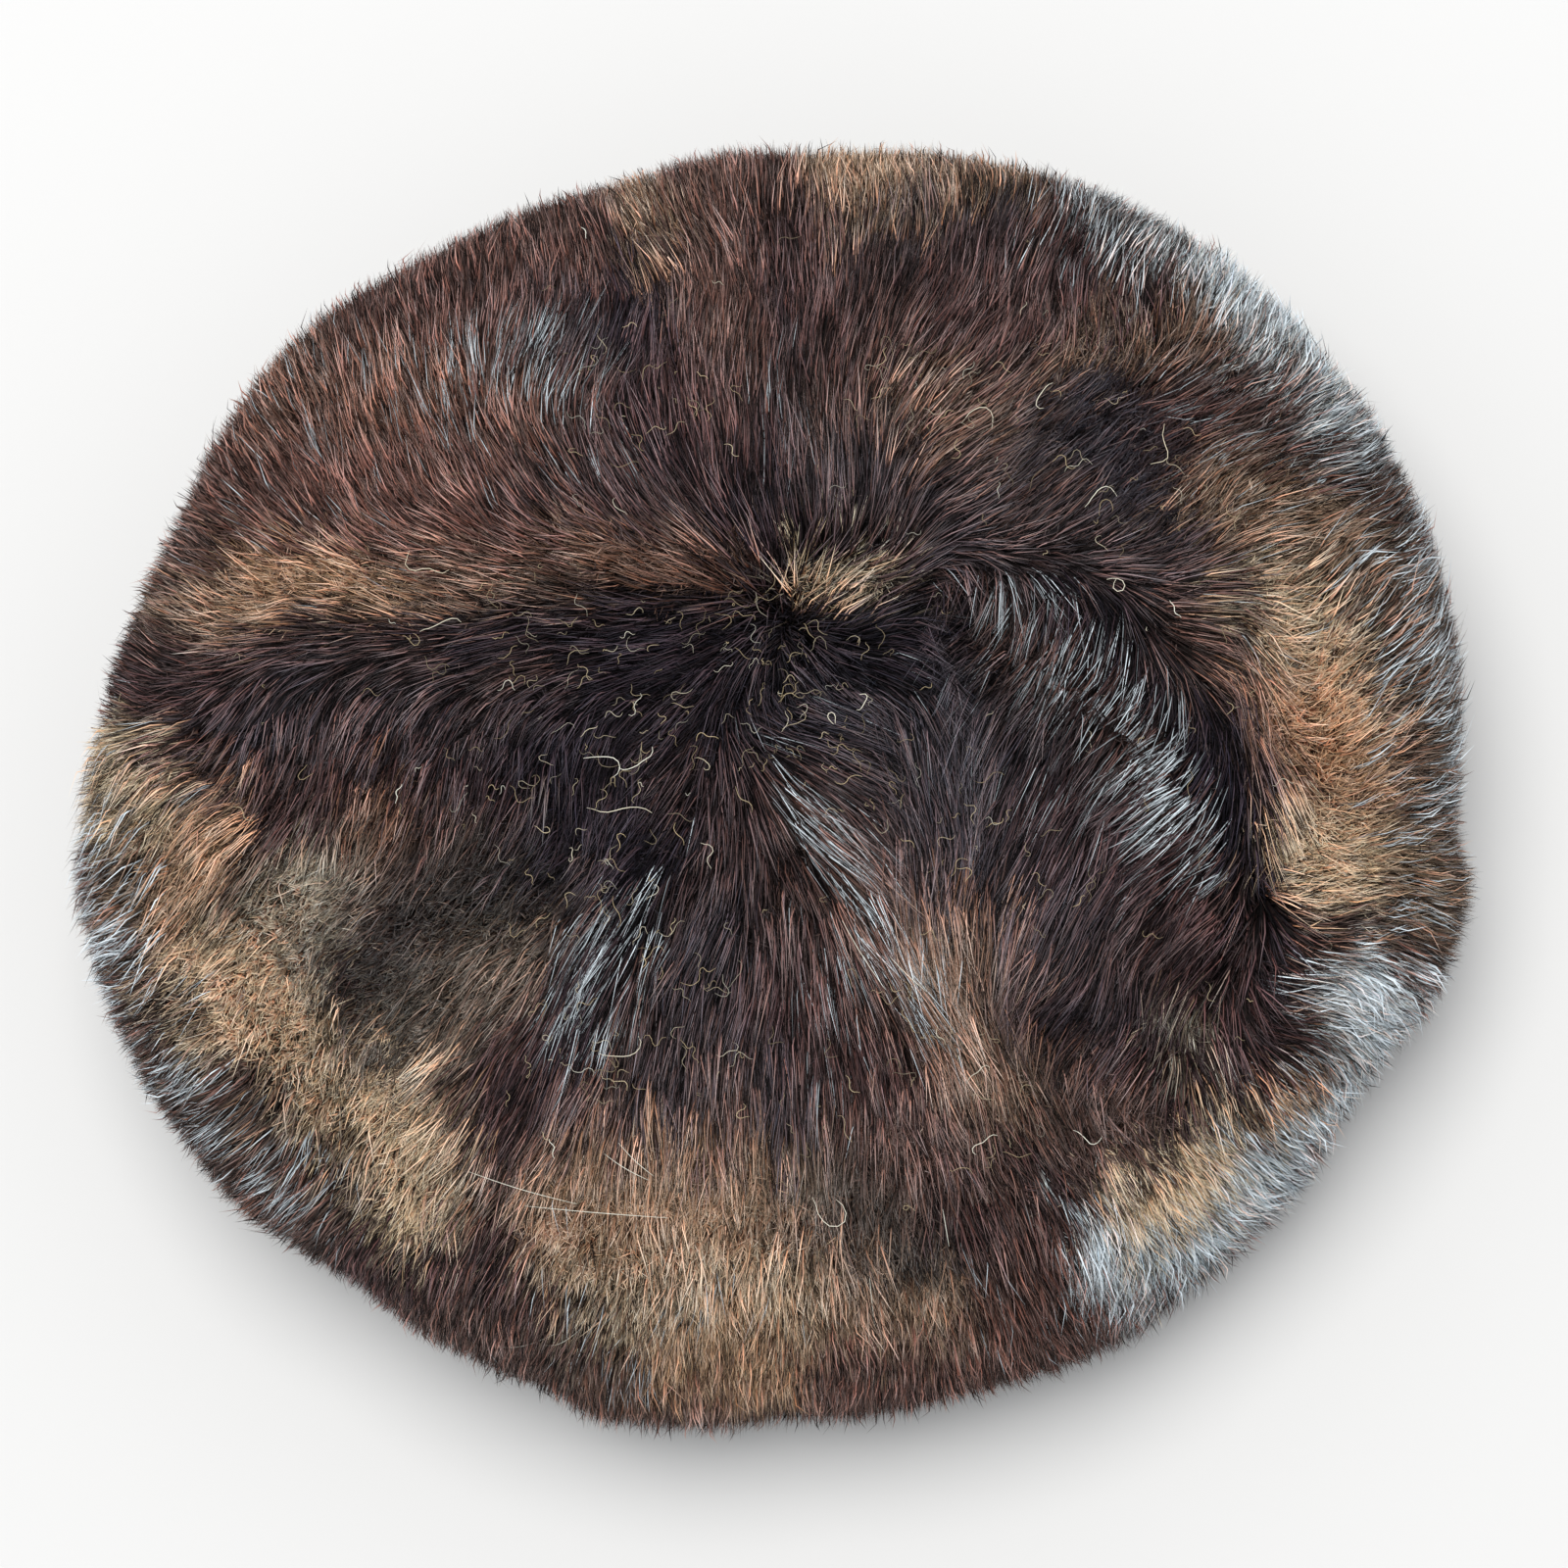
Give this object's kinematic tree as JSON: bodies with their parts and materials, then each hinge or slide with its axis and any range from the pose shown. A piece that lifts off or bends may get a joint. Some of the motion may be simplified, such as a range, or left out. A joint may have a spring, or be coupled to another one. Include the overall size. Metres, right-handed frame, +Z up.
{
  "type": "fur pillbox hat",
  "caption": "Round dark brown fur pillbox hat with a pieced fur crown, a soft fur side band and an open head hollow.",
  "frame": {"origin": "on the floor, under the middle of the hat's box", "axes": "+Z up through the crown, +X along the hat's longer width, -Y the side taken as its front, which is the lower side of the picture"},
  "size_m": [0.2266, 0.2082, 0.0944],
  "materials": {
    "crown_fur": "deep brown-black fur with a cool sheen",
    "band_fur": "brown fur with tan underfur and silvery ends"
  },
  "bodies": {
    "root": {"crown_pelt_back_right": "crown_fur", "crown_pelt_back_left": "crown_fur", "crown_pelt_front_left": "crown_fur", "crown_pelt_front_right": "crown_fur", "side_band": "band_fur"}
  },
  "joints": []
}
